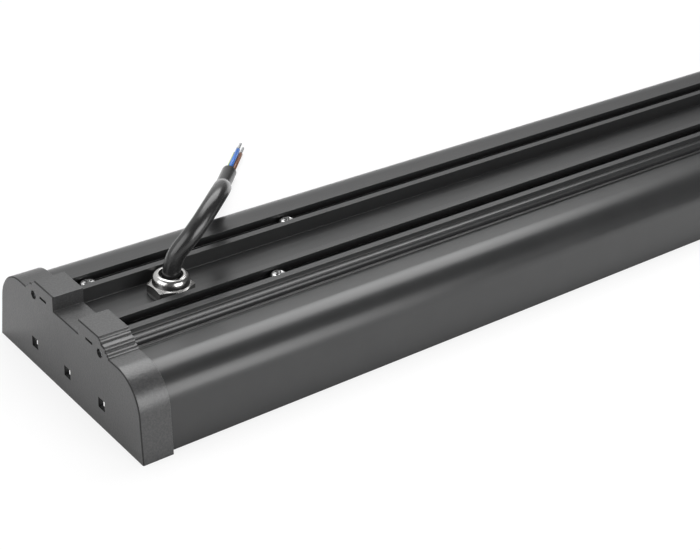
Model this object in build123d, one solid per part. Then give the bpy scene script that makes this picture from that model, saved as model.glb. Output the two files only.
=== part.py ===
from build123d import *
import math
import os

# Linear high bay light: a black aluminium housing with two slotted rails on its back,
# moulded end caps, LED boards behind an opal cover, a driver inside and a supply lead.
# Millimetres. X runs along the light, +Z is up, the origin is the centre of the underside.

# Housing section, half widths measured from the middle
length = 600.0
foot_z = 0.4
skin = 1.8
recess_floor = 35.7
recess_half = 12.8
rail_top = 43.0
rail_outer = 26.8
lip = 1.6
mouth_half = 3.65
channel_middle = 19.8
channel_half = 5.2
channel_height = 3.7
ledge_z = 40.5
ledge_out = 29.2
port_y = 28.3
port_z = 37.6
port_wall = 0.7
port_bore = 1.5
rib_in = 32.0
rib_out = 32.9
rib_top = 37.0
shoulder_top = 36.1
shoulder_radius = 15.8
shoulder_y = 41.8
side_lean = 6.9
deck_z = 15.0
deck = 2.0
cover_lip = 1.6
cover_lip_reach = 3.2

# Opal cover
cover = 1.6
cover_gap = 0.2

# End caps and what they hold
cap_depth = 15.0
cap_wall = 3.6
cap_skin = 2.0
cap_gap = 0.2
cap_edge = 0.5
cap_rail_out = 0.6
cap_foot_out = 2.45
window = 5.2
window_z = 12.0
window_pitch = 29.0
slot_width = 5.6
slot_height = 1.2
slot_z = 39.1
plate = 1.8
key_height = 0.4
key_gap = 0.2
plate_top = 33.0
gasket = 1.2
gasket_inset = 0.3
cap_screw_radius = 1.45
cap_screw_head = 2.0
cap_screw_head_height = 1.4
cap_screw_sink = 2.4
cap_screw_length = 20.0
screw_gap = 0.1
rim_shortest = 4 * cap_edge

# LED boards
board_width = 20.0
board = 1.6
board_short = 12.0
led = 3.0
led_height = 0.7
led_pitch = 22.0
board_screws_per_row = 4

# Screws in the channels and the plate that they carry
channel_screw_lead_end = [22.8, 133.4]
channel_screw_other_rail = [99.2]
m4_radius = 2.0
m4_head = 4.25
m4_head_height = 3.1
m4_shank = 10.5
hole_gap = 0.25
bracket = 1.2
bracket_start = 14.0
bracket_margin = 8.6
bracket_length = channel_screw_lead_end[-1] + bracket_margin - bracket_start
bracket_half = 25.0
bracket_corner = 4.0
bracket_clear = 2.0
flange_half = 17.5
flange_drop = 7.2
nut_radius = 3.5
nut_height = 3.0

# Cable gland
gland_x = 53.7
gland_flats = 18.84
gland_thread = 8.0
washer = 0.8
washer_out = 2.2
gland_foot = 1.2
gland_stub_up = 5.4
gland_stub_down = 8.4
nut_hex = 3.4
nut_dome = 4.0
stub_radius = 7.46
stub_bore = 5.45
ring_radius = 7.2
ring_bore = 5.85
ring_edge = 0.4
locknut = 2.8
nut_corner_drop = 1.25
nut_shoulder_in = 0.5
nut_bulge_in = 0.55
nut_bulge_share = 0.7
hood_gap = 0.3
seal_height = 6.6
seal_below_ring = 2.6

# Supply lead
lead_diameter = 8.4
lead_tail = 12.0
core_diameter = 2.5
core_gap = 0.4
core_spread = 0.26
core_straight = 3.5
core_entry = 5.0
core_bend = 4.0
core_bare = 26.0
ferrule_diameter = 1.7
ferrule = 8.0
core_apart = 0.25

# Driver
driver_start = 155.0
driver_length = 240.0
driver_half = 28.0
driver_height = 14.0
driver_sheet = 1.5
driver_tab = 12.0
driver_corner = 3.0
driver_edge = 2.5
m3_radius = 1.5
m3_head = 2.8
m3_head_height = 1.9

# Terminal block
block_start = 76.0
block_length = 26.0
block_width = 30.0
block_height = 13.5
block_poles = 3
block_edge = 1.0
pin_radius = 2.0
pin_slot = 0.7

# How far a cut runs past what it cuts, and how far a fused boss runs into its wall
past = 1.0
weld = 0.1

near_end = -length / 2
wall_to_housing = cap_wall + plate + gasket
housing_half = length / 2 - wall_to_housing
chamber_top = recess_floor - skin
channel_floor = rail_top - lip - channel_height
cap_top = rail_top + cap_gap + cap_skin


def shoulder_edges(grow, foot):
    """The leaning side wall and the round shoulder, moved out by grow."""
    radius = shoulder_radius + grow
    centre_z = shoulder_top - shoulder_radius
    lean = math.radians(side_lean)
    turn_in = (shoulder_y + radius * math.cos(lean), centre_z + radius * math.sin(lean))
    corner = (turn_in[0] + (turn_in[1] - foot) * math.tan(lean), foot)
    crown = (shoulder_y, centre_z + radius)
    mid = math.radians((90 + side_lean) / 2)
    shoulder_mid = (shoulder_y + radius * math.cos(mid), centre_z + radius * math.sin(mid))
    return [Polyline((0, foot), corner, turn_in), ThreePointArc(turn_in, shoulder_mid, crown)]


def half_outline(grow, foot):
    """Right half of the housing's outside, moved out by grow, from foot to the middle."""
    side_and_shoulder = shoulder_edges(grow, foot)
    crown = side_and_shoulder[1] @ 1
    bead = port_bore + port_wall + grow
    ledge = ledge_out + grow
    start = math.acos((ledge - port_y) / bead)
    bead_start = (ledge, port_z + bead * math.sin(start))
    bead_mid = (port_y + bead * math.cos(start / 2), port_z + bead * math.sin(start / 2))
    bead_out = port_y + bead
    rail = rail_outer + grow
    return side_and_shoulder + [
        Polyline(
            crown, (rib_out + grow, crown.Y), (rib_out + grow, rib_top + grow),
            (rib_in - grow, rib_top + grow), (rib_in - grow, crown.Y), (bead_out, crown.Y),
            (bead_out, port_z),
        ),
        ThreePointArc((bead_out, port_z), bead_mid, bead_start),
        Polyline(
            bead_start, (ledge, ledge_z + grow), (rail, ledge_z + grow), (rail, rail_top + grow),
            (recess_half - grow, rail_top + grow), (recess_half - grow, recess_floor + grow),
            (0, recess_floor + grow),
        ),
    ]


def closed_section(edges):
    """Both halves of a section, from the edges of its right half."""
    half = make_face(edges + [Line(edges[-1] @ 1, edges[0] @ 0)])
    return half + mirror(half, Plane.YZ)


def outline(grow, foot):
    return closed_section(half_outline(grow, foot))


def inner_outline(inset, foot):
    """The space inside the housing's walls, closed flat at the shoulders' height."""
    edges = shoulder_edges(-inset, foot)
    crown = edges[1] @ 1
    return closed_section(edges + [Line(crown, (0, crown.Y))])


def along_x(section, start, span):
    """A section drawn across the light, run along X from start."""
    return extrude(Plane.YZ.offset(start) * section, span)


def band(low, high, half=2 * shoulder_y):
    """A flat rectangle across the light between two heights."""
    return Pos(0, (low + high) / 2) * Rectangle(2 * half, high - low)


def on_rail(y, z, shape):
    """One shape on each side of the middle."""
    return Pos(y, z) * shape + Pos(-y, z) * shape


def mirrored_end(shape):
    return mirror(shape, Plane.YZ)


def screw(x, y, z, head, head_height, radius, reach, round_edge=chamfer, up=True):
    """A pan head screw whose head stands on z, its shank along Z."""
    way = 1 if up else -1
    body = Cylinder(radius, reach, align=(Align.CENTER, Align.CENTER, Align.MAX))
    dome = Cylinder(head, head_height, align=(Align.CENTER, Align.CENTER, Align.MIN))
    dome = round_edge(dome.edges().sort_by(Axis.Z)[-1:], head_height * 0.6)
    whole = body + dome
    if not up:
        whole = mirror(whole, Plane.XY)
    return Pos(x, y, z) * whole


# Housing: one extrusion with a deck for the LEDs, grooves for the cover, T-slots and screw ports
def housing():
    inner = inner_outline(skin, foot_z - past)
    chamber = inner & band(deck_z + deck, chamber_top)
    relief = on_rail(channel_middle, chamber_top, Rectangle(2 * channel_half, 2 * skin))
    relief = relief & band(chamber_top - past, channel_floor - skin)
    light_space = inner & band(foot_z - past, deck_z)
    groove_low = foot_z + cover_lip
    groove_high = groove_low + cover + 2 * cover_gap
    keep_in = cover_edge() - cover_lip_reach
    lips = band(foot_z, groove_low) + band(groove_high, groove_high + cover_lip)
    lips = lips - band(foot_z - past, deck_z, keep_in)
    channel = on_rail(channel_middle, channel_floor + channel_height / 2,
                      Rectangle(2 * channel_half, channel_height))
    mouth = on_rail(channel_middle, rail_top, Rectangle(2 * mouth_half, 2 * (lip + weld)))
    ports = on_rail(port_y, port_z, Circle(port_bore))
    section = outline(0, foot_z) - chamber - relief - (light_space - lips) - channel - mouth - ports
    body = along_x(section, -housing_half, 2 * housing_half)
    body -= Pos(near_end + gland_x, 0, recess_floor) * Cylinder(gland_thread + hole_gap, 4 * skin)
    for x, y in channel_screw_places():
        body -= Pos(x, y, channel_floor) * Cylinder(m4_radius + hole_gap, 4 * skin)
    for x, y in driver_screw_places() + board_screw_places():
        body -= Pos(x, y, deck_z + deck) * Cylinder(m3_radius + screw_gap, 3 * deck)
    return body


def cover_edge():
    """Half width of the space between the housing's walls where the cover slides in."""
    lean = math.radians(side_lean)
    radius = shoulder_radius - skin
    turn_z = shoulder_top - shoulder_radius + radius * math.sin(lean)
    wall_z = foot_z + cover_lip + cover_gap + cover
    return shoulder_y + radius * math.cos(lean) + (turn_z - wall_z) * math.tan(lean)


def channel_screw_places():
    far = [(near_end + x, channel_middle) for x in channel_screw_lead_end]
    return far + [(near_end + x, -channel_middle) for x in channel_screw_other_rail]


def driver_screw_places():
    first = near_end + driver_start + driver_tab / 2
    last = near_end + driver_start + driver_length - driver_tab / 2
    return [(x, y) for x in (first, last) for y in (-driver_half / 2, driver_half / 2)]


def opal_cover():
    half = cover_edge() - cover_gap
    low = foot_z + cover_lip + cover_gap
    return along_x(band(low, low + cover, half), -housing_half, 2 * housing_half)


# End cap: a moulded sleeve over the housing's end, its treads repeating the housing's ribs
cap_treads = [(0.0, 0.116), (0.113, 0.136), (0.113, 0.215), (0.245, 0.238), (0.245, 0.374),
              (0.55, 0.428), (0.55, 0.544), (0.672, 0.565), (0.672, 0.754), (0.872, 0.788),
              (0.872, 0.904), (1.0, 0.928)]


def cap_outline():
    grow = cap_gap + cap_skin
    edges = shoulder_edges(grow, 0.0)
    flank_top = (rail_outer + cap_rail_out, cap_top)
    flank_out = rib_out + cap_foot_out - flank_top[0]
    flank_drop = cap_top - shoulder_top - grow
    foot = (flank_top[0] + flank_out, shoulder_top + grow)
    steps = [(flank_top[0] + a * flank_out, cap_top - b * flank_drop) for a, b in cap_treads]
    flank = Polyline(edges[1] @ 1, foot, *reversed(steps), flank_top, (recess_half - grow, cap_top),
                     (recess_half - grow, recess_floor + grow), (0, recess_floor + grow))
    return closed_section(edges + [flank])


def end_cap():
    cap = along_x(cap_outline(), near_end, cap_depth)
    face = cap.faces().sort_by(Axis.X)[0]
    rim = [e for e in face.edges() if e.center().Z > weld and e.length > rim_shortest]
    cap = chamfer(rim, cap_edge)
    cavity = outline(cap_gap, -past)
    cap -= along_x(cavity, near_end + cap_wall, cap_depth)
    for side in (-1, 1):
        pad = Pos(side * port_y, port_z) * Circle(port_bore + port_wall)
        cap += along_x(pad, near_end + cap_wall - weld, plate + weld)
    cut = on_rail(window_pitch, window_z, Rectangle(window, window))
    cut += Pos(0, window_z) * Rectangle(window, window)
    cut += on_rail(channel_middle, slot_z, Rectangle(slot_width, slot_height))
    cut += on_rail(port_y, port_z, Circle(cap_screw_radius + screw_gap))
    cap -= along_x(cut, near_end - past, cap_wall + plate + 2 * past)
    sink = on_rail(port_y, port_z, Circle(cap_screw_head + screw_gap))
    return cap - along_x(sink, near_end - past, cap_screw_sink + past)


def end_plate():
    section = outline(0, foot_z + cap_gap) & band(0, plate_top)
    key = window - 2 * key_gap
    keys = on_rail(window_pitch, window_z, Rectangle(key, key))
    keys += Pos(0, window_z) * Rectangle(key, key)
    start = near_end + cap_wall
    return along_x(section, start, plate) + along_x(keys, start - key_height, plate + key_height)


def end_gasket():
    inner = inner_outline(skin + gasket_inset, foot_z - past)
    channel = on_rail(channel_middle, (channel_floor + cap_top) / 2,
                      Rectangle(2 * channel_half, cap_top - channel_floor))
    holes = on_rail(port_y, port_z, Circle(port_bore + screw_gap))
    section = outline(-gasket_inset, foot_z + gasket_inset) - holes - channel
    section -= inner & band(deck_z + deck, chamber_top)
    section -= inner & band(foot_z + cover_lip + cover_lip, deck_z)
    return along_x(section, near_end + cap_wall + plate, gasket)


def cap_screws():
    found = []
    for side in (-1, 1):
        shank = Cylinder(cap_screw_radius, cap_screw_length,
                         align=(Align.CENTER, Align.CENTER, Align.MIN))
        head = Cylinder(cap_screw_head, cap_screw_head_height,
                        align=(Align.CENTER, Align.CENTER, Align.MAX))
        head = chamfer(head.edges().sort_by(Axis.Z)[:1], cap_screw_head_height * 0.3)
        one = Rotation(0, 90, 0) * (shank + head)
        found.append(Pos(near_end + cap_screw_sink, side * port_y, port_z) * one)
    return Compound(children=found)


# LED boards under the deck
def board_half():
    return housing_half - board_short


def led_board(row):
    low = deck_z - board
    section = Pos(row * window_pitch, (low + deck_z) / 2) * Rectangle(board_width, board)
    plain = along_x(section, -board_half(), 2 * board_half())
    for x in board_screw_xs():
        plain -= Pos(x, row * window_pitch, low) * Cylinder(m3_radius + screw_gap, 3 * board)
    return plain


def board_screw_xs():
    step = 2 * board_half() / board_screws_per_row
    return [-board_half() + step * (i + 0.5) for i in range(board_screws_per_row)]


def leds(row):
    count = int(2 * board_half() // led_pitch)
    first = -led_pitch * (count - 1) / 2
    low = deck_z - board - led_height
    found = []
    for i in range(count):
        x = first + i * led_pitch
        if min(abs(x - s) for s in board_screw_xs()) > led + m3_head:
            found.append(Pos(x, row * window_pitch, low + led_height / 2) * Box(led, led, led_height))
    return Compound(children=found)


def board_screw_places():
    return [(x, row * window_pitch) for row in (-1, 0, 1) for x in board_screw_xs()]


def board_screws():
    found = [screw(x, y, deck_z - board, m3_head, m3_head_height, m3_radius, board + deck, up=False)
             for x, y in board_screw_places()]
    return Compound(children=found)


# Screws in the channels, the plate under the ceiling and its nuts
def channel_screws():
    found = [screw(x, y, channel_floor, m4_head, m4_head_height, m4_radius, m4_shank, fillet)
             for x, y in channel_screw_places()]
    return Compound(children=found)


def terminal_bracket():
    start = near_end + bracket_start
    sheet = Pos(start + bracket_length / 2, 0, chamber_top - bracket / 2) * Box(
        bracket_length, 2 * bracket_half, bracket)
    sheet = fillet(sheet.edges().filter_by(Axis.Z), bracket_corner)
    flange = Pos(start + bracket_length - bracket / 2, 0, chamber_top - flange_drop / 2) * Box(
        bracket, 2 * flange_half, flange_drop)
    sheet += flange
    around = gland_flats / math.sqrt(3) + bracket_clear
    sheet -= Pos(near_end + gland_x, 0, chamber_top) * Cylinder(around, 4 * bracket)
    for x, y in channel_screw_places():
        sheet -= Pos(x, y, chamber_top) * Cylinder(m4_radius + hole_gap, 4 * bracket)
    return sheet


def bracket_nuts():
    top = chamber_top - bracket
    found = []
    for x, y in channel_screw_places():
        ring = Cylinder(nut_radius, nut_height, align=(Align.CENTER, Align.CENTER, Align.MAX))
        ring -= Cylinder(m4_radius + screw_gap / 2, 3 * nut_height)
        found.append(Pos(x, y, top) * ring)
    return Compound(children=found)


def terminal_block():
    top = chamber_top - bracket
    low = top - block_height
    x = near_end + block_start + block_length / 2
    block = Pos(x, 0, top - block_height / 2) * Box(block_length, block_width, block_height)
    block = chamfer(block.edges().filter_by(Axis.X).sort_by(Axis.Z)[:2], block_edge)
    for y in pole_ys():
        entry = Rotation(0, 90, 0) * Cylinder(core_diameter / 2 + core_gap, 3 * block_length)
        block -= Pos(x, y, lead_core_z()) * entry
        block -= Pos(x, y, low) * Cylinder(
            pin_radius + screw_gap, lead_core_z() - low, align=(Align.CENTER, Align.CENTER, Align.MIN))
    return block


def terminal_screws():
    top = chamber_top - bracket
    x = near_end + block_start + block_length / 2
    low = top - block_height
    found = []
    for y in pole_ys():
        height = lead_core_z() - core_diameter / 2 - low
        pin = Cylinder(pin_radius, height, align=(Align.CENTER, Align.CENTER, Align.MIN))
        pin -= Box(pin_slot, 2 * block_height, 2 * pin_slot)
        found.append(Pos(x, y, low) * pin)
    return Compound(children=found)


def pole_ys():
    pitch = block_width / block_poles
    return [pitch * (i - (block_poles - 1) / 2) for i in range(block_poles)]


def lead_core_z():
    return chamber_top - bracket - block_height * 0.6


# Cable gland
def hexagon(flats, height):
    return extrude(RegularPolygon(flats / 2, 6, major_radius=False, rotation=30), height)


def at_gland(z, shape):
    return Pos(near_end + gland_x, 0, z) * shape


def gland_washer():
    ring = Circle(gland_flats / 2 + washer_out / 2) - Circle(gland_thread + screw_gap)
    return at_gland(recess_floor, extrude(ring, washer))


def gland_body():
    foot = hexagon(gland_flats, gland_foot)
    up = Cylinder(stub_radius, gland_stub_up, align=(Align.CENTER, Align.CENTER, Align.MIN))
    down = Cylinder(gland_thread, gland_stub_down + washer,
                    align=(Align.CENTER, Align.CENTER, Align.MAX))
    stub = foot + Pos(0, 0, gland_foot) * up + down
    stub -= Cylinder(stub_bore, 4 * gland_stub_down)
    return at_gland(recess_floor + washer, stub)


def gland_nut():
    base = washer + gland_foot + screw_gap
    height = nut_hex + nut_dome
    corner = gland_flats / math.sqrt(3) + past
    shoulder = gland_flats / 2 - nut_shoulder_in
    blank = hexagon(gland_flats, nut_hex)
    cone = Polyline((0, 0), (corner, 0), (corner, nut_hex - nut_corner_drop), (shoulder, nut_hex),
                    (0, nut_hex), close=True)
    blank &= revolve(Plane.XZ * make_face(cone), Axis.Z)
    side = Spline((shoulder, nut_hex), (shoulder - nut_bulge_in, nut_hex + nut_dome * nut_bulge_share),
                  (ring_radius, height), tangents=((0, 1), (-1, 0)))
    dome = make_face([side, Polyline((ring_radius, height), (ring_bore, height),
                                     (ring_bore, nut_hex - past), (shoulder, nut_hex - past),
                                     (shoulder, nut_hex))])
    blank += revolve(Plane.XZ * dome, Axis.Z)
    blank -= Cylinder(stub_radius + screw_gap, gland_stub_up - screw_gap + hood_gap,
                      align=(Align.CENTER, Align.CENTER, Align.MIN))
    blank -= Cylinder(ring_bore, 6 * height)
    hole = blank.edges().filter_by(GeomType.CIRCLE).sort_by(Axis.Z)[-2:].sort_by(SortBy.RADIUS)[0]
    return at_gland(recess_floor + base, fillet(hole, ring_edge))


def gland_seal():
    top = recess_floor + washer + gland_foot + screw_gap + nut_hex + nut_dome - seal_below_ring
    ring = Circle(stub_bore - screw_gap) - Circle(lead_diameter / 2)
    return at_gland(top - seal_height, extrude(ring, seal_height))


def lead_exit_z():
    return recess_floor + washer + gland_foot + screw_gap + nut_hex + nut_dome - seal_below_ring


def gland_locknut():
    ring = hexagon(gland_flats, locknut) - Cylinder(gland_thread + screw_gap / 2, 4 * locknut)
    return at_gland(chamber_top - locknut, ring)


# Supply lead: its tail inside, the free lead that arches over the far side, and its bare cores
def tube(points, diameter, radii=None):
    """A round tube along straight runs joined by tangent arcs."""
    ends = [Vector(*p) for p in points]
    if radii is None:
        radii = []
        for a, b, c in zip(ends, ends[1:], ends[2:]):
            turn = math.radians((b - a).get_angle(c - b))
            shorter = min((b - a).length, (c - b).length)
            radii.append(0.45 * shorter / math.tan(turn / 2))
    path = FilletPolyline(*ends, radius=radii)
    start = Plane(origin=ends[0], z_dir=ends[1] - ends[0])
    return sweep(start * Circle(diameter / 2), path=path), path, radii


lead_points = [
    (near_end + gland_x, 0.0, lead_exit_z()),
    (-246.3, 0.0, 52.5),
    (-236.5, -3.9, 65.5),
    (-221.1, 3.0, 74.3),
    (-207.5, 16.0, 72.0),
    (-195.4, 35.5, 57.9),
    (-183.3, 58.4, 38.2),
    (-164.1, 87.1, 19.9),
    (-142.2, 115.0, lead_diameter / 2),
    (-118.6, 137.7, lead_diameter / 2),
]


def lead_tail_piece():
    top = lead_exit_z()
    return at_gland(top - lead_tail, Cylinder(lead_diameter / 2, lead_tail,
                                              align=(Align.CENTER, Align.CENTER, Align.MIN)))


def inner_cores():
    low = lead_exit_z() - lead_tail
    x = near_end + gland_x
    found = []
    for y in pole_ys():
        route = [(x, y * core_spread, low), (x, y * core_spread, lead_core_z())]
        if y:
            route.append((near_end + block_start - core_straight, y, lead_core_z()))
        route.append((near_end + block_start + core_entry, y, lead_core_z()))
        found.append(tube(route, core_diameter, [core_bend] * (len(route) - 2))[0])
    return Compound(children=found)


def supply_lead():
    solid, path, radii = tube(lead_points, lead_diameter)
    print("lead radii", [round(r, 1) for r in radii], "length", round(path.length, 1))
    print("lead volume", round(solid.volume, 1), "section x length",
          round(math.pi * lead_diameter ** 2 / 4 * path.length, 1))
    return solid


def bare_cores():
    last = Vector(*lead_points[-1])
    way = (last - Vector(*lead_points[-2])).normalized()
    side = Plane(origin=last, z_dir=way)
    spread = core_diameter / 2 + core_apart
    found = []
    sleeves = []
    for i in range(3):
        angle = math.radians(90 + 120 * i)
        place = side * Pos(spread / math.cos(math.pi / 6) * math.cos(angle),
                           spread / math.cos(math.pi / 6) * math.sin(angle), 0)
        found.append(place * Cylinder(core_diameter / 2, core_bare,
                                      align=(Align.CENTER, Align.CENTER, Align.MIN)))
        sleeves.append(place * Pos(0, 0, core_bare) * Cylinder(
            ferrule_diameter / 2, ferrule, align=(Align.CENTER, Align.CENTER, Align.MIN)))
    return Compound(children=found), Compound(children=sleeves)


# Driver on the deck
def driver_base():
    x0 = near_end + driver_start
    floor = Pos(x0 + driver_length / 2, 0, deck_z + deck + driver_sheet / 2) * Box(
        driver_length, 2 * driver_half, driver_sheet)
    for x, y in driver_screw_places():
        floor -= Pos(x, y, deck_z + deck) * Cylinder(m3_radius + screw_gap, 4 * driver_sheet)
    return fillet(floor.edges().filter_by(Axis.Z).group_by(Axis.X)[0]
                  + floor.edges().filter_by(Axis.Z).group_by(Axis.X)[-1], driver_corner)


def driver_cover():
    x0 = near_end + driver_start + driver_tab
    low = deck_z + deck + driver_sheet
    box = Pos(x0 + driver_length / 2 - driver_tab, 0, low + (driver_height - driver_sheet) / 2) * Box(
        driver_length - 2 * driver_tab, 2 * driver_half, driver_height - driver_sheet)
    return fillet(box.edges().filter_by(Axis.X).sort_by(Axis.Z)[-2:], driver_edge)


def driver_screws():
    low = deck_z + deck + driver_sheet
    found = [screw(x, y, low, m3_head, m3_head_height, m3_radius, driver_sheet + deck)
             for x, y in driver_screw_places()]
    return Compound(children=found)


def driver_leads():
    start = near_end + block_start + block_length - 5.0
    end = near_end + driver_start + driver_tab
    return Compound(children=[
        along_x(Pos(y, lead_core_z()) * Circle(core_diameter / 2), start, end - start)
        for y in pole_ys()])


nodes = {
    "housing": housing(),
    "opal_cover": opal_cover(),
    "gland_washer": gland_washer(),
    "gland_body": gland_body(),
    "gland_nut": gland_nut(),
    "gland_seal": gland_seal(),
    "gland_locknut": gland_locknut(),
    "supply_lead": supply_lead(),
    "lead_tail": lead_tail_piece(),
    "inner_cores": inner_cores(),
    "channel_screws": channel_screws(),
    "terminal_bracket": terminal_bracket(),
    "bracket_nuts": bracket_nuts(),
    "terminal_block": terminal_block(),
    "terminal_screws": terminal_screws(),
    "driver_base": driver_base(),
    "driver_cover": driver_cover(),
    "driver_screws": driver_screws(),
    "driver_leads": driver_leads(),
    "board_screws": board_screws(),
}
nodes["bare_cores"], nodes["core_ferrules"] = bare_cores()
for name, row in (("left", -1), ("middle", 0), ("right", 1)):
    nodes["led_board_" + name] = led_board(row)
    nodes["leds_" + name] = leds(row)
for name, build in (("end_cap", end_cap), ("end_plate", end_plate), ("end_gasket", end_gasket),
                    ("cap_screws", cap_screws)):
    piece = build()
    nodes[name + "_lead_end"] = piece
    nodes[name + "_blank_end"] = mirrored_end(piece)

os.makedirs("parts", exist_ok=True)
for name, shape in nodes.items():
    export_step(shape, "parts/" + name + ".step")
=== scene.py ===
import math

import bmesh
import bpy
from mathutils import Matrix, Vector


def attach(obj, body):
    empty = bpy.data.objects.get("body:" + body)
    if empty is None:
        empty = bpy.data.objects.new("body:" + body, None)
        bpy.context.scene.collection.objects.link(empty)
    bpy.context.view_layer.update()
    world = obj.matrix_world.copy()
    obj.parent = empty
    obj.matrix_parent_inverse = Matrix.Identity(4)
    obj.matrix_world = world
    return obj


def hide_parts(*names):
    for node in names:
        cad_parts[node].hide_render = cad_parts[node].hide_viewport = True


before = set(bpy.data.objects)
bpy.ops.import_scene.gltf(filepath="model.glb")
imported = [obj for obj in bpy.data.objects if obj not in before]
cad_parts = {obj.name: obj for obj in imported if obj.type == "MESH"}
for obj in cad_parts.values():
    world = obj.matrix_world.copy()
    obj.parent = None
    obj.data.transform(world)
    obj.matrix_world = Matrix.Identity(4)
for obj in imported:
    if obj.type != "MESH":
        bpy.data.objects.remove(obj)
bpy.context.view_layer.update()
scene = bpy.context.scene
scene.view_settings.view_transform = "Standard"

# Camera
# A short telephoto view from above the lead end, turned a little about its own axis, as a
# product photograph of a long light is taken.
camera = bpy.data.objects.new("camera", bpy.data.cameras.new("camera"))
scene.collection.objects.link(camera)
camera.location = (-0.5698, -0.50134, 0.39325)
camera.rotation_euler = (1.04496, -0.05868, -0.6734)
camera.data.sensor_width = 36.0
camera.data.lens = 78.864
camera.data.clip_start = 0.05
camera.data.clip_end = 20.0
scene.camera = camera


# Studio
# A pale floor that the camera sees as white, a broad softbox high behind the far side, a lower
# one in front, both in line with the housing, and a lamp for the end face.
floor_tone = 0.74
floor_half = 6.0
floor_seen_white = 0.8
room_light = 0.12
floor_mesh = bmesh.new()
bmesh.ops.create_grid(floor_mesh, x_segments=1, y_segments=1, size=floor_half)
floor_data = bpy.data.meshes.new("floor")
floor_mesh.to_mesh(floor_data)
floor_mesh.free()
floor = bpy.data.objects.new("floor", floor_data)
scene.collection.objects.link(floor)

floor_paint = bpy.data.materials.new("studio_floor")
floor_paint.use_nodes = True
nodes = floor_paint.node_tree.nodes
links = floor_paint.node_tree.links
paint = nodes["Principled BSDF"]
paint.inputs["Base Color"].default_value = (floor_tone, floor_tone, floor_tone, 1.0)
paint.inputs["Roughness"].default_value = 0.9
paint.inputs["Specular IOR Level"].default_value = 0.1
white = nodes.new("ShaderNodeEmission")
white.inputs["Strength"].default_value = 1.0
ray = nodes.new("ShaderNodeLightPath")
share = nodes.new("ShaderNodeMath")
share.operation = "MULTIPLY"
share.inputs[1].default_value = floor_seen_white
seen = nodes.new("ShaderNodeMixShader")
links.new(ray.outputs["Is Camera Ray"], share.inputs[0])
links.new(share.outputs["Value"], seen.inputs["Fac"])
links.new(paint.outputs["BSDF"], seen.inputs[1])
links.new(white.outputs["Emission"], seen.inputs[2])
links.new(seen.outputs["Shader"], nodes["Material Output"].inputs["Surface"])
floor_data.materials.append(floor_paint)

# The room is dim, but gloss and metal see the white background along the far side.
world = bpy.data.worlds.new("studio")
world.use_nodes = True
scene.world = world
nodes = world.node_tree.nodes
links = world.node_tree.links
sky = nodes["Background"]
sky.inputs["Color"].default_value = (1.0, 1.0, 1.0, 1.0)
sky.inputs["Strength"].default_value = 1.0
room = nodes.new("ShaderNodeBackground")
room.inputs["Color"].default_value = (1.0, 1.0, 1.0, 1.0)
room.inputs["Strength"].default_value = room_light
way = nodes.new("ShaderNodeTexCoord")
axes = nodes.new("ShaderNodeSeparateXYZ")
far_side = nodes.new("ShaderNodeMapRange")
far_side.interpolation_type = "SMOOTHSTEP"
far_side.inputs["From Min"].default_value = 0.1
far_side.inputs["From Max"].default_value = 0.55
fading = nodes.new("ShaderNodeMapRange")
fading.inputs["From Min"].default_value = 0.45
fading.inputs["From Max"].default_value = 0.85
fading.inputs["To Min"].default_value = 1.0
fading.inputs["To Max"].default_value = 0.2
ray = nodes.new("ShaderNodeLightPath")
white_part = nodes.new("ShaderNodeMath")
white_part.operation = "MULTIPLY"
gloss_side = nodes.new("ShaderNodeMath")
gloss_side.operation = "MULTIPLY"
shown = nodes.new("ShaderNodeMath")
shown.operation = "MAXIMUM"
seen = nodes.new("ShaderNodeMixShader")
links.new(way.outputs["Generated"], axes.inputs["Vector"])
links.new(axes.outputs["Y"], far_side.inputs["Value"])
links.new(axes.outputs["X"], fading.inputs["Value"])
links.new(far_side.outputs["Result"], white_part.inputs[0])
links.new(fading.outputs["Result"], white_part.inputs[1])
links.new(white_part.outputs["Value"], gloss_side.inputs[0])
links.new(ray.outputs["Is Glossy Ray"], gloss_side.inputs[1])
links.new(gloss_side.outputs["Value"], shown.inputs[0])
links.new(ray.outputs["Is Camera Ray"], shown.inputs[1])
links.new(shown.outputs["Value"], seen.inputs["Fac"])
links.new(room.outputs["Background"], seen.inputs[1])
links.new(sky.outputs["Background"], seen.inputs[2])
links.new(seen.outputs["Shader"], nodes["World Output"].inputs["Surface"])


def softbox(name, place, aim, width, height, power):
    """An area lamp that faces a point of the light."""
    lamp = bpy.data.lights.new(name, "AREA")
    lamp.shape = "RECTANGLE"
    lamp.size = width
    lamp.size_y = height
    lamp.energy = power
    holder = bpy.data.objects.new(name, lamp)
    holder.location = place
    holder.rotation_euler = (Vector(aim) - Vector(place)).to_track_quat("-Z", "Y").to_euler()
    scene.collection.objects.link(holder)


softbox("back_softbox", (0.16, 0.25, 0.79), (0.16, -0.04, 0.03), 1.10, 0.66, 12.0)
softbox("front_softbox", (0.08, -1.12, 0.37), (0.08, -0.05, 0.03), 1.0, 0.68, 13.5)
softbox("end_lamp", (-1.2, 0.05, 0.5), (-0.3, 0.0, 0.02), 1.0, 0.8, 9.0)


# Housing
# One aluminium extrusion, black anodised, with fine lines along the way it was drawn. It carries
# everything else. Its edges and inner corners are slightly round and coloured lighter, partly as
# rubbed wear and partly as a painted highlight, and the outer corners of the ledges beside the
# rails fall a little, so that they catch light.
housing_colour = (0.0165, 0.0167, 0.017, 1.0)
# Edge colour: partly rubbed wear, partly a painted highlight along the edges and inner corners.
housing_wear_and_highlight = (0.25, 0.25, 0.252, 1.0)
dust_colour = (0.13, 0.13, 0.128, 1.0)
housing_edge = 0.00027
housing_corner = 0.0004
ledge_at = (0.0292, 0.0405)
ledge_reach = 0.00012
ledge_fall = 0.0005
least_turn = 0.6
edge_cuts = 3
corner_cuts = 4
merge_distance = 1e-6
flat_degrees = 1.0
crease_degrees = 40.0
long_edge = 0.05


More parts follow.
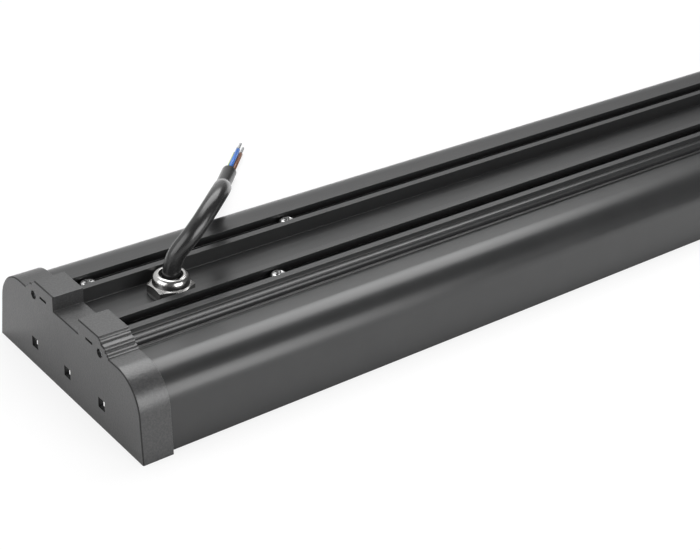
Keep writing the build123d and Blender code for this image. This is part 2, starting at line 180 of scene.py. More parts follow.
def new_finish(name, colour, roughness, metallic=0.0):
    """A material with its plain values on the shader's own sockets."""
    finish = bpy.data.materials.new(name)
    finish.use_nodes = True
    shader = finish.node_tree.nodes["Principled BSDF"]
    shader.inputs["Base Color"].default_value = colour
    shader.inputs["Roughness"].default_value = roughness
    shader.inputs["Metallic"].default_value = metallic
    place = finish.node_tree.nodes.new("ShaderNodeTexCoord")
    place.name = "place"
    return finish


def new_effect(name, inputs, outputs):
    """A node group with a named input and output for each value."""
    effect = bpy.data.node_groups.new(name, "ShaderNodeTree")
    for socket, kind, value in inputs:
        made = effect.interface.new_socket(socket, in_out="INPUT", socket_type=kind)
        if value is not None:
            made.default_value = value
    for socket, kind in outputs:
        effect.interface.new_socket(socket, in_out="OUTPUT", socket_type=kind)
    start = effect.nodes.new("NodeGroupInput")
    end = effect.nodes.new("NodeGroupOutput")
    return effect, effect.nodes, effect.links, start, end


def use_effect(finish, effect, **values):
    """Place an effect in a material, on the piece's own object coordinates."""
    tree = finish.node_tree
    node = tree.nodes.new("ShaderNodeGroup")
    node.node_tree = effect
    tree.links.new(tree.nodes["place"].outputs["Object"], node.inputs["Place"])
    for socket, value in values.items():
        node.inputs[socket.replace("_", " ")].default_value = value
    return node


def blend_colour(finish, mask, under, over):
    """A colour that goes from one to another where a mask says so."""
    tree = finish.node_tree
    mix = tree.nodes.new("ShaderNodeMix")
    mix.data_type = "RGBA"
    for socket, value in (("A", under), ("B", over)):
        if isinstance(value, tuple):
            mix.inputs[socket].default_value = value
        else:
            tree.links.new(value, mix.inputs[socket])
    tree.links.new(mask, mix.inputs["Factor"])
    return mix.outputs["Result"]


def wire(finish, output, socket):
    """Join an output to one of the shader's own sockets."""
    finish.node_tree.links.new(output, finish.node_tree.nodes["Principled BSDF"].inputs[socket])


def hand_edge_to_wear_and_highlight(finish, effect):
    """Hand the piece's own edge attribute to the effect of wear and painted edge highlights."""
    tree = finish.node_tree
    edge = tree.nodes.new("ShaderNodeAttribute")
    edge.attribute_name = "edge"
    tree.links.new(edge.outputs["Fac"], effect.inputs["Edge"])


# Lines that a die or a brush leaves: a noise drawn out along one axis.
drawn_lines, nodes, links, start, end = new_effect(
    "drawn_lines",
    [("Place", "NodeSocketVector", None), ("Along", "NodeSocketVector", (0.012, 1.0, 1.0)),
     ("Fineness", "NodeSocketFloat", 900.0), ("Depth", "NodeSocketFloat", 0.1),
     ("Smoothest", "NodeSocketFloat", 0.3), ("Roughest", "NodeSocketFloat", 0.4)],
    [("Roughness", "NodeSocketFloat"), ("Normal", "NodeSocketVector")])
stretch = nodes.new("ShaderNodeVectorMath")
stretch.operation = "MULTIPLY"
lines = nodes.new("ShaderNodeTexNoise")
lines.inputs["Detail"].default_value = 3.0
patches = nodes.new("ShaderNodeTexNoise")
patches.inputs["Scale"].default_value = 30.0
patches.inputs["Detail"].default_value = 4.0
total = nodes.new("ShaderNodeMath")
total.operation = "ADD"
spread = nodes.new("ShaderNodeMapRange")
spread.inputs["From Min"].default_value = 0.7
spread.inputs["From Max"].default_value = 1.3
relief = nodes.new("ShaderNodeBump")
relief.inputs["Distance"].default_value = 0.00008
links.new(start.outputs["Place"], stretch.inputs[0])
links.new(start.outputs["Along"], stretch.inputs[1])
links.new(stretch.outputs["Vector"], lines.inputs["Vector"])
links.new(start.outputs["Fineness"], lines.inputs["Scale"])
links.new(start.outputs["Place"], patches.inputs["Vector"])
links.new(lines.outputs["Fac"], total.inputs[0])
links.new(patches.outputs["Fac"], total.inputs[1])
links.new(total.outputs["Value"], spread.inputs["Value"])
links.new(start.outputs["Smoothest"], spread.inputs["To Min"])
links.new(start.outputs["Roughest"], spread.inputs["To Max"])
links.new(start.outputs["Depth"], relief.inputs["Strength"])
links.new(lines.outputs["Fac"], relief.inputs["Height"])
links.new(spread.outputs["Result"], end.inputs["Roughness"])
links.new(relief.outputs["Normal"], end.inputs["Normal"])

# Edges rubbed bare in places, with painted highlight lines along them: the edge attribute, broken
# up by a noise.
worn_and_highlit_edges, nodes, links, start, end = new_effect(
    "worn_and_highlit_edges",
    [("Place", "NodeSocketVector", None), ("Edge", "NodeSocketFloat", 0.0),
     ("Amount", "NodeSocketFloat", 0.6), ("Patch Scale", "NodeSocketFloat", 60.0)],
    [("Mask", "NodeSocketFloat")])
edge_breakup = nodes.new("ShaderNodeTexNoise")
edge_breakup.inputs["Detail"].default_value = 5.0
edge_breakup.inputs["Roughness"].default_value = 0.7
where = nodes.new("ShaderNodeMapRange")
where.inputs["From Min"].default_value = 0.22
where.inputs["From Max"].default_value = 0.52
on_edge = nodes.new("ShaderNodeMath")
on_edge.operation = "MULTIPLY"
amount = nodes.new("ShaderNodeMath")
amount.operation = "MULTIPLY"
links.new(start.outputs["Place"], edge_breakup.inputs["Vector"])
links.new(start.outputs["Patch Scale"], edge_breakup.inputs["Scale"])
links.new(edge_breakup.outputs["Fac"], where.inputs["Value"])
links.new(where.outputs["Result"], on_edge.inputs[0])
links.new(start.outputs["Edge"], on_edge.inputs[1])
links.new(on_edge.outputs["Value"], amount.inputs[0])
links.new(start.outputs["Amount"], amount.inputs[1])
links.new(amount.outputs["Value"], end.inputs["Mask"])

# Thin dust and finger marks that lie in soft patches over a surface.
faint_dust, nodes, links, start, end = new_effect(
    "faint_dust",
    [("Place", "NodeSocketVector", None), ("Amount", "NodeSocketFloat", 0.3),
     ("Patch Scale", "NodeSocketFloat", 60.0)],
    [("Mask", "NodeSocketFloat")])
clouds = nodes.new("ShaderNodeTexNoise")
clouds.inputs["Detail"].default_value = 6.0
clouds.inputs["Roughness"].default_value = 0.65
specks = nodes.new("ShaderNodeTexNoise")
specks.inputs["Scale"].default_value = 2600.0
specks.inputs["Detail"].default_value = 2.0
thin = nodes.new("ShaderNodeMapRange")
thin.inputs["From Min"].default_value = 0.4
thin.inputs["From Max"].default_value = 0.75
grit = nodes.new("ShaderNodeMath")
grit.operation = "MULTIPLY"
amount = nodes.new("ShaderNodeMath")
amount.operation = "MULTIPLY"
links.new(start.outputs["Place"], clouds.inputs["Vector"])
links.new(start.outputs["Patch Scale"], clouds.inputs["Scale"])
links.new(start.outputs["Place"], specks.inputs["Vector"])
links.new(clouds.outputs["Fac"], thin.inputs["Value"])
links.new(thin.outputs["Result"], grit.inputs[0])
links.new(specks.outputs["Fac"], grit.inputs[1])
links.new(grit.outputs["Value"], amount.inputs[0])
links.new(start.outputs["Amount"], amount.inputs[1])
links.new(amount.outputs["Value"], end.inputs["Mask"])

black_anodised = new_finish("black_anodised", housing_colour, 0.34)
lines_on = use_effect(black_anodised, drawn_lines, Fineness=2400.0, Depth=0.02,
                      Smoothest=0.28, Roughest=0.32)
# The lighter edge colour marks rubbed wear and a painted highlight along the edges.
wear_and_highlight_on = use_effect(black_anodised, worn_and_highlit_edges, Amount=0.85, Patch_Scale=45.0)
hand_edge_to_wear_and_highlight(black_anodised, wear_and_highlight_on)
dust_on = use_effect(black_anodised, faint_dust, Amount=0.06, Patch_Scale=70.0)
dusty = blend_colour(black_anodised, dust_on.outputs["Mask"], housing_colour, dust_colour)
wire(black_anodised, blend_colour(black_anodised, wear_and_highlight_on.outputs["Mask"], dusty,
                                  housing_wear_and_highlight), "Base Color")
wire(black_anodised, lines_on.outputs["Roughness"], "Roughness")
wire(black_anodised, lines_on.outputs["Normal"], "Normal")


def finished(shape, name, sharp_degrees, *finishes):
    """The object of a shape that is ready, smooth but for its sharp edges."""
    data = bpy.data.meshes.new(name)
    shape.to_mesh(data)
    shape.free()
    data.shade_smooth()
    data.set_sharp_from_angle(angle=math.radians(sharp_degrees))
    for finish in finishes:
        data.materials.append(finish)
    piece = bpy.data.objects.new(name, data)
    scene.collection.objects.link(piece)
    return piece


def rounded_copy(name, node, edge, corner, finish, wanted):
    """A merged copy of a solid, its edges and inner corners rounded, that stands for it."""
    shape = bmesh.new()
    shape.from_mesh(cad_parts[node].data)
    bmesh.ops.remove_doubles(shape, verts=shape.verts, dist=merge_distance)
    lowered = [vert for vert in shape.verts if
               abs(abs(vert.co.y) - ledge_at[0]) < ledge_reach and
               abs(vert.co.z - ledge_at[1]) < ledge_reach]
    bmesh.ops.translate(shape, verts=lowered, vec=(0.0, 0.0, -ledge_fall))
    bmesh.ops.dissolve_limit(shape, angle_limit=math.radians(flat_degrees),
                             verts=shape.verts, edges=shape.edges)
    bmesh.ops.recalc_face_normals(shape, faces=shape.faces)
    # The bevel strips are marked for the lighter edge colour: partly wear, partly painted
    # highlight.
    wear_and_highlight_strip = shape.verts.layers.float.new("edge")
    for inner, width in ((True, corner), (False, edge)):
        picked = []
        for side in shape.edges:
            if len(side.link_faces) == 2 and wanted(side):
                turn = side.calc_face_angle_signed(0.0)
                if (turn < -least_turn if inner else turn > least_turn):
                    picked.append(side)
        made = bmesh.ops.bevel(shape, geom=picked, offset=width, offset_type="OFFSET",
                               segments=corner_cuts if inner else edge_cuts, profile=0.5,
                               affect="EDGES", material=-1, clamp_overlap=True)
        strips = set(made["faces"])
        for strip_vert in made["verts"]:
            if all(face in strips for face in strip_vert.link_faces):
                strip_vert[wear_and_highlight_strip] = 1.0
    piece = finished(shape, name, crease_degrees, finish)
    even = piece.modifiers.new("even_shading", "WEIGHTED_NORMAL")
    even.keep_sharp = True
    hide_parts(node)
    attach(piece, "root")


def runs_along(side):
    """True for an edge that runs along the housing."""
    return abs(side.verts[0].co.x - side.verts[1].co.x) > long_edge


rounded_copy("housing_extrusion", "housing", housing_edge, housing_corner, black_anodised,
             runs_along)


# LED boards and LEDs
# Three aluminium boards with white solder mask, screwed up against the deck, each with a row of
# yellow phosphor LEDs in white carriers.
mask_white = (0.80, 0.81, 0.80, 1.0)
mask_dull = (0.76, 0.77, 0.76, 1.0)
track_white = (0.66, 0.68, 0.67, 1.0)
phosphor = (0.83, 0.70, 0.17, 1.0)
phosphor_deep = (0.72, 0.52, 0.09, 1.0)

# A grain of fine bumps with soft, larger patches of gloss.
surface_grain, nodes, links, start, end = new_effect(
    "surface_grain",
    [("Place", "NodeSocketVector", None), ("Grain Scale", "NodeSocketFloat", 2000.0),
     ("Grain Depth", "NodeSocketFloat", 0.1), ("Patch Scale", "NodeSocketFloat", 40.0),
     ("Smoothest", "NodeSocketFloat", 0.4), ("Roughest", "NodeSocketFloat", 0.5)],
    [("Grain", "NodeSocketFloat"), ("Patches", "NodeSocketFloat"),
     ("Roughness", "NodeSocketFloat"), ("Normal", "NodeSocketVector")])
grain = nodes.new("ShaderNodeTexNoise")
grain.inputs["Detail"].default_value = 2.0
cells = nodes.new("ShaderNodeTexVoronoi")
patches = nodes.new("ShaderNodeTexNoise")
patches.inputs["Detail"].default_value = 5.0
patches.inputs["Roughness"].default_value = 0.6
pebbles = nodes.new("ShaderNodeMath")
pebbles.operation = "ADD"
gloss = nodes.new("ShaderNodeMapRange")
gloss.inputs["From Min"].default_value = 0.3
gloss.inputs["From Max"].default_value = 0.7
relief = nodes.new("ShaderNodeBump")
relief.inputs["Distance"].default_value = 0.0001
for texture in (grain, cells, patches):
    links.new(start.outputs["Place"], texture.inputs["Vector"])
links.new(start.outputs["Grain Scale"], grain.inputs["Scale"])
links.new(start.outputs["Grain Scale"], cells.inputs["Scale"])
links.new(start.outputs["Patch Scale"], patches.inputs["Scale"])
links.new(grain.outputs["Fac"], pebbles.inputs[0])
links.new(cells.outputs["Distance"], pebbles.inputs[1])
links.new(patches.outputs["Fac"], gloss.inputs["Value"])
links.new(start.outputs["Smoothest"], gloss.inputs["To Min"])
links.new(start.outputs["Roughest"], gloss.inputs["To Max"])
links.new(start.outputs["Grain Depth"], relief.inputs["Strength"])
links.new(pebbles.outputs["Value"], relief.inputs["Height"])
links.new(grain.outputs["Fac"], end.inputs["Grain"])
links.new(patches.outputs["Fac"], end.inputs["Patches"])
links.new(gloss.outputs["Result"], end.inputs["Roughness"])
links.new(relief.outputs["Normal"], end.inputs["Normal"])


def grained_finish(name, colour, other, low, high, scale, depth, patch=40.0, metallic=0.0):
    """A finish with a grain, uneven gloss and two close colours in patches."""
    finish = new_finish(name, colour, (low + high) / 2, metallic)
    grain_on = use_effect(finish, surface_grain, Grain_Scale=scale, Grain_Depth=depth,
                          Patch_Scale=patch, Smoothest=low, Roughest=high)
    wire(finish, blend_colour(finish, grain_on.outputs["Patches"], colour, other), "Base Color")
    wire(finish, grain_on.outputs["Roughness"], "Roughness")
    wire(finish, grain_on.outputs["Normal"], "Normal")
    return finish


def dress(finish, *nodes):
    """Put one finish on solids that keep their own shape."""
    for node in nodes:
        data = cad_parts[node].data
        data.materials.clear()
        data.materials.append(finish)


solder_mask = new_finish("white_solder_mask", mask_white, 0.37)
mask_grain = use_effect(solder_mask, surface_grain, Grain_Scale=1500.0, Grain_Depth=0.05,
                        Patch_Scale=40.0, Smoothest=0.32, Roughest=0.42)
tracks = solder_mask.node_tree.nodes.new("ShaderNodeTexBrick")
tracks.inputs["Scale"].default_value = 1.0
tracks.inputs["Color1"].default_value = mask_white
tracks.inputs["Color2"].default_value = mask_dull
tracks.inputs["Mortar"].default_value = track_white
tracks.inputs["Brick Width"].default_value = 0.0235
tracks.inputs["Row Height"].default_value = 0.005
tracks.inputs["Mortar Size"].default_value = 0.0003
solder_mask.node_tree.links.new(solder_mask.node_tree.nodes["place"].outputs["Object"],
                                tracks.inputs["Vector"])
wire(solder_mask, tracks.outputs["Color"], "Base Color")
wire(solder_mask, mask_grain.outputs["Roughness"], "Roughness")
wire(solder_mask, mask_grain.outputs["Normal"], "Normal")
led_phosphor = grained_finish("led_phosphor", phosphor, phosphor_deep, 0.16, 0.26, 3000.0, 0.05,
                              patch=300.0)
led_phosphor.node_tree.nodes["Principled BSDF"].inputs["Coat Weight"].default_value = 0.4
dress(solder_mask, "led_board_left", "led_board_middle", "led_board_right")
dress(led_phosphor, "leds_left", "leds_middle", "leds_right")


# Opal cover
# A co-extruded opal sheet that slides in the two lower grooves. It scatters light, so the rows
# of LEDs behind it show only as a faint warmth.
opal_white = (0.86, 0.865, 0.86, 1.0)
opal_sheet = grained_finish("opal_sheet", opal_white, (0.82, 0.825, 0.815, 1.0), 0.34, 0.46,
                            1800.0, 0.06, patch=12.0)
opal_shader = opal_sheet.node_tree.nodes["Principled BSDF"]
opal_shader.inputs["Transmission Weight"].default_value = 0.3
opal_shader.inputs["IOR"].default_value = 1.49
dress(opal_sheet, "opal_cover")


# Driver
# A folded steel tray on the deck with a cover, both powder coated white, screwed down at each
# end. Its wires run to the terminal block.
powder_white = (0.74, 0.745, 0.74, 1.0)
powder_coat = grained_finish("white_powder_coat", powder_white, (0.69, 0.695, 0.69, 1.0), 0.42,
                             0.58, 900.0, 0.35)
dress(powder_coat, "driver_base", "driver_cover")


# Terminal bracket, screws and nuts
# A plate of zinc plated steel that lies up against the trough from below, with nuts pressed into
# it for the three channel screws that hold it. The light's other small screws are zinc plated too.
zinc = (0.60, 0.61, 0.62, 1.0)
zinc_dull = (0.44, 0.45, 0.46, 1.0)
zinc_plate = new_finish("zinc_plate", zinc, 0.3, 1.0)
zinc_lines = use_effect(zinc_plate, drawn_lines, Along=(0.03, 1.0, 1.0), Fineness=2500.0,
                        Depth=0.12, Smoothest=0.22, Roughest=0.36)
zinc_grain = use_effect(zinc_plate, surface_grain, Grain_Scale=2500.0, Grain_Depth=0.1,
                        Patch_Scale=180.0)
wire(zinc_plate, blend_colour(zinc_plate, zinc_grain.outputs["Patches"], zinc, zinc_dull),
     "Base Color")
wire(zinc_plate, zinc_lines.outputs["Roughness"], "Roughness")
wire(zinc_plate, zinc_lines.outputs["Normal"], "Normal")
dress(zinc_plate, "terminal_bracket", "bracket_nuts", "terminal_screws", "driver_screws",
      "board_screws", "cap_screws_lead_end", "cap_screws_blank_end", "core_ferrules")


# Terminal block
# A three-way block moulded in white nylon, where the supply cores meet the driver's wires. It
# hangs from the terminal bracket, and its screws clamp the wires from below.
nylon_white = (0.78, 0.775, 0.75, 1.0)
nylon = grained_finish("white_nylon", nylon_white, (0.72, 0.715, 0.69, 1.0), 0.36, 0.5, 1500.0,
                       0.12)
dress(nylon, "terminal_block")


# End plates and gaskets
# Behind each cap a white moulded plate covers the housing's open end, with keys that fill one
# side of the cap's windows. A dark rubber gasket lies between plate and housing.
plate_white = (0.88, 0.88, 0.87, 1.0)
plate_plastic = grained_finish("white_plate_plastic", plate_white, (0.83, 0.83, 0.82, 1.0), 0.38,
                               0.5, 1500.0, 0.1)
dress(plate_plastic, "end_plate_lead_end", "end_plate_blank_end")

# The plate's snap hooks, one on the near side of each window, show as white slivers. Each is a
# barb on a narrower neck that grows out of the plate.
hook_root_and_tip = ((-0.2962, -0.29985), (0.2962, 0.29985))
window_places = (-0.029, 0.0, 0.029)
hook_width = 0.0011
hook_height = 0.0022
hook_neck = 0.6
hook_aside = 0.00202
hook_z = 0.0132
hook_edge = 0.00012
# Each step of a hook from tip to root: its share of the length, and its section's growth.
hook_steps = ((0.35, 1.0), (0.15, hook_neck), (0.5, 1.0))
hooks = bmesh.new()
for root_x, tip_x in hook_root_and_tip:
    for window_y in window_places:
        made = bmesh.ops.create_grid(hooks, x_segments=1, y_segments=1, size=0.5)
        bmesh.ops.scale(hooks, verts=made["verts"], vec=(hook_height, hook_width, 1.0))
        bmesh.ops.rotate(hooks, verts=made["verts"], matrix=Matrix.Rotation(math.pi / 2, 3, "Y"))
        bmesh.ops.translate(hooks, verts=made["verts"],
                            vec=(tip_x, window_y - hook_aside, hook_z))
        tip = nose = list({face for vert in made["verts"] for face in vert.link_faces})
        middle = Matrix.Translation((0.0, hook_aside - window_y, -hook_z))
        for depth, share in hook_steps:
            grown = bmesh.ops.extrude_face_region(hooks, geom=nose)["geom"]
            if nose is not tip:
                bmesh.ops.delete(hooks, geom=nose, context="FACES_ONLY")
            nose = [part for part in grown if isinstance(part, bmesh.types.BMFace)]
            ends = [part for part in grown if isinstance(part, bmesh.types.BMVert)]
            bmesh.ops.translate(hooks, verts=ends, vec=((root_x - tip_x) * depth, 0.0, 0.0))
            bmesh.ops.scale(hooks, verts=ends, vec=(1.0, 1.0, share), space=middle)
bmesh.ops.recalc_face_normals(hooks, faces=hooks.faces)
bmesh.ops.bevel(hooks, geom=hooks.edges[:], offset=hook_edge, offset_type="OFFSET", segments=2,
                profile=0.5, affect="EDGES", material=-1)
plate_hooks = finished(hooks, "plate_hooks", crease_degrees, plate_plastic)
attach(plate_hooks, "root")

rubber_black = (0.020, 0.020, 0.020, 1.0)
soft_rubber = grained_finish("soft_black_rubber", rubber_black, (0.034, 0.034, 0.033, 1.0), 0.6,
                             0.78, 1600.0, 0.3)
dress(soft_rubber, "end_gasket_lead_end", "end_gasket_blank_end", "gland_washer", "gland_seal")


# End caps
# Moulded in black plastic with a fine spark-eroded grain, each held by two sunk screws. They
# sleeve the housing's ends and repeat its rails and ribs. Their edges are coloured lighter, partly
# as wear and partly as a painted highlight. The face's narrow chamfer carries a painted shade: it
# is coloured near black and made dull, so it reads as a dark line.
cap_colour = (0.027, 0.0272, 0.0276, 1.0)
cap_grain = (0.045, 0.045, 0.0455, 1.0)
# Edge colour: partly wear, partly a painted highlight along the cap's edges.
cap_wear_and_highlight = (0.12, 0.12, 0.121, 1.0)
# Painted shade: the near-black colour of the chamfer's dark line.
chamfer_painted_shade = (0.006, 0.006, 0.006, 1.0)
cap_face_at = 0.3
cap_chamfer = 0.0005
chamfer_middle = 0.55
chamfer_reach = 0.5
chamfer_clear = 1.2
chamfer_dullness = 0.75
cap_edge = 0.00022
cap_corner = 0.0002
rib_length = 0.004
black_moulding = new_finish("black_moulding", cap_colour, 0.39)
cap_tree = black_moulding.node_tree
moulded = use_effect(black_moulding, surface_grain, Grain_Scale=1150.0, Grain_Depth=0.26,
                     Patch_Scale=26.0, Smoothest=0.29, Roughest=0.38)
speckle = cap_tree.nodes.new("ShaderNodeMapRange")
speckle.inputs["From Min"].default_value = 0.35
speckle.inputs["From Max"].default_value = 0.68
cap_tree.links.new(moulded.outputs["Grain"], speckle.inputs["Value"])
speckled = blend_colour(black_moulding, speckle.outputs["Result"], cap_colour, cap_grain)
cap_wear_and_highlight_on = use_effect(black_moulding, worn_and_highlit_edges, Amount=0.7, Patch_Scale=120.0)
hand_edge_to_wear_and_highlight(black_moulding, cap_wear_and_highlight_on)
edged = blend_colour(black_moulding, cap_wear_and_highlight_on.outputs["Mask"], speckled, cap_wear_and_highlight)
# Painted shade on the chamfer: a band at the face's depth along X takes the near-black colour and
# a dull roughness.
axes = cap_tree.nodes.new("ShaderNodeSeparateXYZ")
outward = cap_tree.nodes.new("ShaderNodeMath")
outward.operation = "ABSOLUTE"
chamfered = cap_tree.nodes.new("ShaderNodeMath")
chamfered.operation = "COMPARE"
chamfered.inputs[1].default_value = cap_face_at - cap_chamfer * chamfer_middle
chamfered.inputs[2].default_value = cap_chamfer * chamfer_reach
cap_tree.links.new(cap_tree.nodes["place"].outputs["Object"], axes.inputs["Vector"])
cap_tree.links.new(axes.outputs["X"], outward.inputs[0])
cap_tree.links.new(outward.outputs["Value"], chamfered.inputs[0])
wire(black_moulding, blend_colour(black_moulding, chamfered.outputs["Value"], edged,
                                  chamfer_painted_shade), "Base Color")
chamfer_dull_roughness = cap_tree.nodes.new("ShaderNodeMix")
chamfer_dull_roughness.inputs["B"].default_value = chamfer_dullness
cap_tree.links.new(chamfered.outputs["Value"], chamfer_dull_roughness.inputs["Factor"])
cap_tree.links.new(moulded.outputs["Roughness"], chamfer_dull_roughness.inputs["A"])
wire(black_moulding, chamfer_dull_roughness.outputs["Result"], "Roughness")
wire(black_moulding, moulded.outputs["Normal"], "Normal")


def off_the_chamfer(side):
    """True for an edge that is clear of the face's chamfer, or that runs along the sleeve."""
    clear = all(abs(vert.co.x) < cap_face_at - cap_chamfer * chamfer_clear or
                abs(vert.co.x) > cap_face_at + cap_chamfer for vert in side.verts)
    return clear or abs(side.verts[0].co.x - side.verts[1].co.x) > rib_length


for cap_end in ("lead_end", "blank_end"):
    rounded_copy("moulded_cap_" + cap_end, "end_cap_" + cap_end, cap_edge, cap_corner,
                 black_moulding, off_the_chamfer)


# Cable gland
# Nickel plated brass: a hexagon nut with a domed shoulder and a flat ring around the lead, on a
# threaded body with its own hexagon foot, which a locknut holds from below. The nut is turned
# from one hexagon bar, so its dome and bore join the hexagon.
nickel = (0.45, 0.445, 0.435, 1.0)
nickel_dull = (0.38, 0.375, 0.37, 1.0)
gland_x = -0.2463
nut_low = 0.0378
nut_corner = 0.01086
nut_hexagon = 0.0034
nut_chamfer = math.radians(57.5)
nut_chamfer_in = 0.0089
chamfer_cuts = 72
ring_sides = 96
nut_crease = 24.0
flat_up = 0.999
# Each ring's radius and height, from the foot of the bore up and over the dome to the hexagon.
nut_profile = (
    (0.0077, 0.0), (0.0077, 0.0055), (0.0055, 0.0055),
    (0.0055, 0.00745), (0.00556, 0.0077), (0.00572, 0.00784),
    (0.0060, 0.0079), (0.0064, 0.00786), (0.0068, 0.00774), (0.0071, 0.0076), (0.0074, 0.0074),
    (0.00775, 0.00708), (0.00805, 0.00668), (0.0083, 0.0062), (0.0085, 0.0055),
    (0.00865, 0.0046), (0.00872, 0.0038), (0.00872, 0.0034),
)
nickel_plate = grained_finish("nickel_plate", nickel, nickel_dull, 0.21, 0.27, 2200.0, 0.03,
                              patch=160.0, metallic=1.0)
dress(nickel_plate, "gland_body", "gland_locknut")


def ring_of(shape, radius, height, count):
    """A ring of edges at one height, to be bridged to the next."""
    made = bmesh.ops.create_circle(shape, segments=count, radius=radius, cap_ends=False)
    bmesh.ops.translate(shape, verts=made["verts"], vec=(0.0, 0.0, height))
    return list({side for vert in made["verts"] for side in vert.link_edges})


nut = bmesh.new()
bmesh.ops.create_circle(nut, segments=6, radius=nut_corner, cap_ends=True)
grown = bmesh.ops.extrude_face_region(nut, geom=nut.faces[:])["geom"]
bmesh.ops.translate(nut, verts=[part for part in grown if isinstance(part, bmesh.types.BMVert)],
                    vec=(0.0, 0.0, nut_hexagon))
for turn in range(chamfer_cuts):
    around = math.radians(360.0 / chamfer_cuts * turn)
    way = Vector((math.cos(around) * math.cos(nut_chamfer),
                  math.sin(around) * math.cos(nut_chamfer), math.sin(nut_chamfer)))
    cut_at = Vector((math.cos(around) * nut_chamfer_in, math.sin(around) * nut_chamfer_in,
                     nut_hexagon))
    bmesh.ops.bisect_plane(nut, geom=nut.verts[:] + nut.edges[:] + nut.faces[:], dist=1e-7,
                           plane_co=cut_at, plane_no=way, clear_outer=True)
    open_edges = [side for side in nut.edges if len(side.link_faces) == 1]
    if open_edges:
        bmesh.ops.holes_fill(nut, edges=open_edges, sides=0)
# The flat faces give way to the bore and the dome, which join the hexagon at its foot and top.
bmesh.ops.recalc_face_normals(nut, faces=nut.faces)
flats = [face for face in nut.faces if abs(face.normal.z) > flat_up]
bmesh.ops.delete(nut, geom=flats, context="FACES_ONLY")
rims = [side for side in nut.edges if len(side.link_faces) == 1]
foot_rim = [side for side in rims if side.verts[0].co.z < nut_hexagon / 2]
top_rim = [side for side in rims if side.verts[0].co.z > nut_hexagon / 2]
nut_rings = [ring_of(nut, radius, height, ring_sides) for radius, height in nut_profile]
for lower, upper in zip(nut_rings, nut_rings[1:]):
    bmesh.ops.bridge_loops(nut, edges=lower + upper)
bmesh.ops.triangle_fill(nut, use_beauty=True, edges=foot_rim + nut_rings[0])
bmesh.ops.triangle_fill(nut, use_beauty=True, edges=top_rim + nut_rings[-1])
bmesh.ops.translate(nut, verts=nut.verts, vec=(gland_x, 0.0, nut_low))
bmesh.ops.recalc_face_normals(nut, faces=nut.faces)
gland_nut = finished(nut, "domed_gland_nut", nut_crease, nickel_plate)
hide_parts("gland_nut")
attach(gland_nut, "root")


# Channel screws
# Three pan head screws with cross recesses, zinc plated. Their heads lie in the rails' channels
# and their shanks go through to the nuts of the terminal bracket.
screw_places = ((-0.2772, 0.0198), (-0.1666, 0.0198), (-0.2008, -0.0198))
head_low = 0.0377
head_radius = 0.00423
head_sides = 48
head_edge = 0.0002
recess_arm = 0.0024
recess_half = 0.00062
recess_top = 0.00345
recess_depth = 0.0021
recess_turn = 20.0
recess_narrowing = 0.6
recess_arms = 4
screw_crease = 35.0
shank_radius = 0.00195
shank_low = 0.0274
screw_profile = (
    (shank_radius, shank_low - head_low), (shank_radius, 0.0), (head_radius - head_edge, 0.0),
    (head_radius, head_edge), (head_radius, 0.0014), (head_radius * 0.975, 0.0021),
    (head_radius * 0.90, 0.0027), (head_radius * 0.78, 0.0032), (head_radius * 0.68, 0.0034),
)
bright_zinc = grained_finish("bright_zinc", (0.66, 0.66, 0.66, 1.0), (0.5, 0.5, 0.5, 1.0), 0.18,
                             0.3, 2200.0, 0.06, patch=220.0, metallic=1.0)


def cross_head_screw(shape):
    """Head, recess and shank of one screw around the Z axis."""
    rings = [ring_of(shape, radius, height, head_sides) for radius, height in screw_profile]
    for lower, upper in zip(rings, rings[1:]):
        bmesh.ops.bridge_loops(shape, edges=lower + upper)
    bmesh.ops.contextual_create(shape, geom=rings[0])
    corners = ((recess_arm, recess_half), (recess_half, recess_half), (recess_half, recess_arm))
    outline = []
    for turn in range(recess_arms):
        around = math.radians(360.0 / recess_arms * turn + recess_turn)
        quarter = Matrix.Rotation(around, 4, "Z")
        for x, y in corners:
            outline.append(shape.verts.new(quarter @ Vector((x, y, recess_top))))
    mouth = [shape.edges.new(pair) for pair in zip(outline, outline[1:] + outline[:1])]
    bmesh.ops.triangle_fill(shape, use_beauty=True, edges=rings[-1] + mouth)
    sides = bmesh.ops.extrude_edge_only(shape, edges=mouth)["geom"]
    floor_verts = [part for part in sides if isinstance(part, bmesh.types.BMVert)]
    floor_edges = [part for part in sides if isinstance(part, bmesh.types.BMEdge) and
                   all(vert in floor_verts for vert in part.verts)]
    bmesh.ops.scale(shape, verts=floor_verts, vec=(recess_narrowing, recess_narrowing, 1.0))
    bmesh.ops.translate(shape, verts=floor_verts, vec=(0.0, 0.0, -recess_depth))
    bmesh.ops.contextual_create(shape, geom=floor_edges)
    bmesh.ops.recalc_face_normals(shape, faces=shape.faces)


screws = bmesh.new()
for x, y in screw_places:
    one = bmesh.new()
    cross_head_screw(one)
    bmesh.ops.translate(one, verts=one.verts, vec=(x, y, head_low))
    held = bpy.data.meshes.new("one_screw")
    one.to_mesh(held)
    one.free()
    screws.from_mesh(held)
    bpy.data.meshes.remove(held)
channel_screws = finished(screws, "channel_screw_heads", screw_crease, bright_zinc)
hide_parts("channel_screws")
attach(channel_screws, "root")


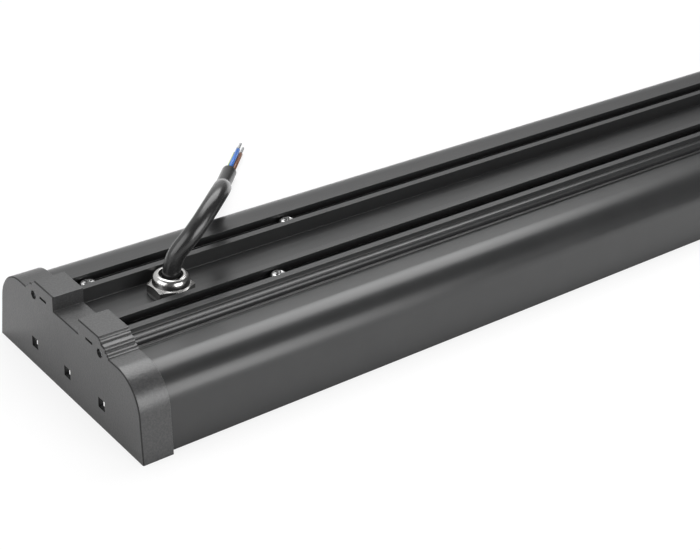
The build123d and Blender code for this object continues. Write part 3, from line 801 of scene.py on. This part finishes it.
# Supply lead
# A round rubber-sheathed cable. It leans over as it leaves the gland, arches over the far rail
# and runs down to the floor behind, where its sheath is stripped.
sheath_black = (0.011, 0.011, 0.0113, 1.0)
sheath_dull = (0.0135, 0.0135, 0.0134, 1.0)
lead_diameter = 0.0084
lead_route = [
    (-0.2463, 0.0, 0.0426),
    (-0.2463, 0.0, 0.0525),
    (-0.2365, -0.0039, 0.0655),
    (-0.2211, 0.0030, 0.0743),
    (-0.2075, 0.0160, 0.0720),
    (-0.1954, 0.0355, 0.0579),
    (-0.1833, 0.0584, 0.0382),
    (-0.1641, 0.0871, 0.0199),
    (-0.1422, 0.1150, 0.0042),
    (-0.1186, 0.1377, 0.0042),
]
sheath = grained_finish("black_sheath", sheath_black, sheath_dull, 0.24, 0.27, 1900.0, 0.05,
                        patch=60.0)
dress(sheath, "lead_tail")
lead_curve = bpy.data.curves.new("supply_lead_line", "CURVE")
lead_curve.dimensions = "3D"
lead_curve.bevel_depth = lead_diameter / 2
lead_curve.bevel_resolution = 12
lead_curve.resolution_u = 32
line = lead_curve.splines.new("NURBS")
line.points.add(len(lead_route) - 1)
for point, place in zip(line.points, lead_route):
    point.co = (*place, 1.0)
line.order_u = 3
line.use_endpoint_u = True
lead_curve.use_fill_caps = True
lead = bpy.data.objects.new("supply_lead_sheath", lead_curve)
scene.collection.objects.link(lead)
lead_curve.materials.append(sheath)
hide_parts("supply_lead")
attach(lead, "root")


# Cores
# Three stripped cores with coloured insulation, brown, blue and green with yellow, and plated
# ferrules on their ends. The same cores go on inside to the terminal block and the driver.
core_colours = (
    ("core_brown", (0.16, 0.065, 0.03, 1.0), (0.13, 0.05, 0.024, 1.0)),
    ("core_blue", (0.03, 0.13, 0.42, 1.0), (0.025, 0.10, 0.36, 1.0)),
    ("core_green", (0.04, 0.26, 0.07, 1.0), (0.62, 0.55, 0.05, 1.0)),
)
core_finishes = [grained_finish(name, colour, other, 0.3, 0.42, 2200.0, 0.08, patch=120.0)
                 for name, colour, other in core_colours]


def coloured_cores(name, node):
    """A merged copy of a node's wires, each wire with the insulation of its own colour."""
    shape = bmesh.new()
    shape.from_mesh(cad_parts[node].data)
    bmesh.ops.remove_doubles(shape, verts=shape.verts, dist=merge_distance)
    bmesh.ops.recalc_face_normals(shape, faces=shape.faces)
    left = set(shape.faces)
    wires = []
    while left:
        reached = [left.pop()]
        wire_faces = []
        while reached:
            face = reached.pop()
            wire_faces.append(face)
            for side in face.edges:
                for other in side.link_faces:
                    if other in left:
                        left.remove(other)
                        reached.append(other)
        middle = sum((face.calc_center_median() for face in wire_faces), Vector())
        wires.append((middle.y / len(wire_faces), wire_faces))
    wires.sort(key=lambda item: item[0])
    for number, (_, wire_faces) in enumerate(wires):
        for face in wire_faces:
            face.material_index = number % len(core_finishes)
    piece = finished(shape, name, crease_degrees, *core_finishes)
    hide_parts(node)
    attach(piece, "root")
    return piece


stripped_cores = coloured_cores("stripped_cores", "bare_cores")
coloured_cores("cores_to_terminals", "inner_cores")
coloured_cores("driver_wires", "driver_leads")
